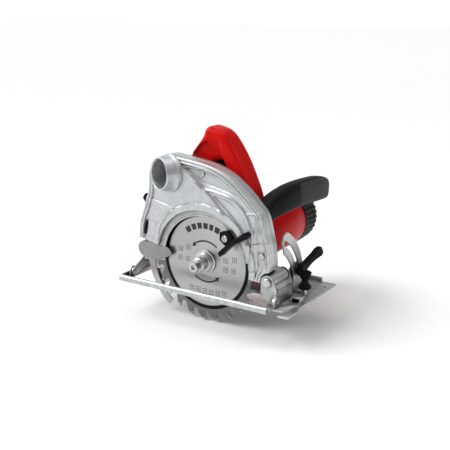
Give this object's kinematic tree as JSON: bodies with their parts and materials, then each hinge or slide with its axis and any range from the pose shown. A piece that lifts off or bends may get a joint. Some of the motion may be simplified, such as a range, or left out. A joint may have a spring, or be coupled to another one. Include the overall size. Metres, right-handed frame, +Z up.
{
  "type": "circular saw",
  "caption": "Hand-held circular saw with D handle, front handle, cast guard with dust port, swinging lower guard, riving knife and a galvanised base with bevel and depth adjustment.",
  "frame": {"origin": "centre of the sole, on the underside of the base plate", "axes": "+X is the cutting direction, +Y the motor side, +Z up"},
  "size_m": [0.254, 0.246, 0.25],
  "materials": {
    "cast": "cast, fine satin grain",
    "galvanised": "zinc-plated sheet, satin",
    "steel": "ground steel",
    "bright": "bright plated",
    "blade": "circular brushed",
    "red": "semi-gloss moulded",
    "black": "fine-textured moulded",
    "rubber": "soft matt",
    "copper": "copper, satin",
    "carbon": "pressed carbon, matt"
  },
  "bodies": {
    "base": {"base_plate": "galvanised", "bevel_quadrant": "galvanised", "front_pivot_lug": "galvanised", "rear_pivot_lug": "galvanised", "bevel_pin_front": "bright", "bevel_pin_rear": "bright"},
    "fence_clamp": {"fence_clamp_knob": "black", "fence_clamp_screw": "bright"},
    "tilt_frame": {"front_bracket": "galvanised", "rear_bracket": "galvanised", "depth_guide": "galvanised", "bevel_clamp_bolt": "bright", "depth_pivot_pin": "bright", "depth_stop_bumper": "rubber"},
    "bevel_lever": {"bevel_lever": "black"},
    "housing": {"upper_guard": "cast", "gear_case": "cast", "motor_housing": "red", "end_cap": "black", "stator_core": "steel", "carbon_brush_left": "carbon", "carbon_brush_right": "carbon", "spindle_bearing_front": "bright", "armature_bearing_front": "bright", "armature_bearing_rear": "bright", "handle_shell_left": "red", "handle_shell_right": "red", "grip_rubber": "rubber", "switch_body": "black", "cable_gland": "rubber", "front_handle": "black", "riving_knife": "steel", "knife_screw": "bright", "guard_screw_top": "bright", "guard_screw_front": "bright", "depth_clamp_bolt": "bright", "guard_spring": "steel"},
    "lower_guard": {"lower_guard": "galvanised", "guard_lever": "black", "guard_lever_screw": "bright"},
    "armature": {"armature_shaft": "bright", "pinion": "steel", "armature_core": "steel", "armature_winding": "copper", "commutator": "copper", "cooling_fan": "black"},
    "spindle": {"spindle": "bright", "inner_flange": "steel", "outer_flange": "bright", "saw_blade": "blade", "arbor_bolt": "bright", "spindle_gear": "steel"},
    "trigger": {"trigger": "black"},
    "lock_off_button": {"lock_off_button": "black"},
    "spindle_lock_button": {"spindle_lock_button": "black"},
    "depth_clamp_lever": {"depth_clamp_lever": "black"}
  },
  "joints": [
    {"name": "fence_clamp_turn", "type": "hinge", "parent": "base", "child": "fence_clamp", "pos_m": [0.1115, 0.006, 0.012], "axis": [0, 0, 1], "range_deg": [-90, 90]},
    {"name": "bevel_tilt", "type": "hinge", "parent": "base", "child": "tilt_frame", "pos_m": [0, -0.045, 0.008], "axis": [1, 0, 0], "range_deg": [0, 45]},
    {"name": "bevel_lever_turn", "type": "hinge", "parent": "tilt_frame", "child": "bevel_lever", "pos_m": [0.098, 0.02445, 0.0295], "axis": [1, 0, 0], "range_deg": [-40, 30]},
    {"name": "depth_swing", "type": "hinge", "parent": "tilt_frame", "child": "housing", "pos_m": [0.085, -0.03, 0.03], "axis": [0, 1, 0], "range_deg": [-3.5, 26]},
    {"name": "lower_guard_swing", "type": "hinge", "parent": "housing", "child": "lower_guard", "pos_m": [-0.011, -0.032, 0.037], "axis": [0, -1, 0], "range_deg": [0, 149]},
    {"name": "armature_spin", "type": "hinge", "parent": "housing", "child": "armature", "pos_m": [0.01, 0.08, 0.058], "axis": [0, 1, 0], "continuous": true},
    {"name": "spindle_spin", "type": "hinge", "parent": "housing", "child": "spindle", "pos_m": [-0.011, -0.032, 0.037], "axis": [0, 1, 0], "continuous": true},
    {"name": "trigger_pull", "type": "hinge", "parent": "housing", "child": "trigger", "pos_m": [-0.02, 0.004, 0.163], "axis": [0, 1, 0], "range_deg": [0, 6], "stiffness_Nm_per_rad": 0.05, "springref_deg": -17.19},
    {"name": "lock_off_push", "type": "slide", "parent": "housing", "child": "lock_off_button", "axis": [0, 1, 0], "range_m": [0, 0.0012], "stiffness_N_per_m": 200, "springref_m": -0.004},
    {"name": "spindle_lock_push", "type": "slide", "parent": "housing", "child": "spindle_lock_button", "axis": [1, 0, 0], "range_m": [0, 0.001], "stiffness_N_per_m": 300, "springref_m": -0.003},
    {"name": "depth_clamp_turn", "type": "hinge", "parent": "housing", "child": "depth_clamp_lever", "pos_m": [-0.0996, -0.011, 0.075], "axis": [0, 1, 0], "range_deg": [-25, 20]}
  ],
  "couplings": [
    {"joint": "spindle_spin", "follows": "armature_spin", "ratio": -0.25714}
  ]
}
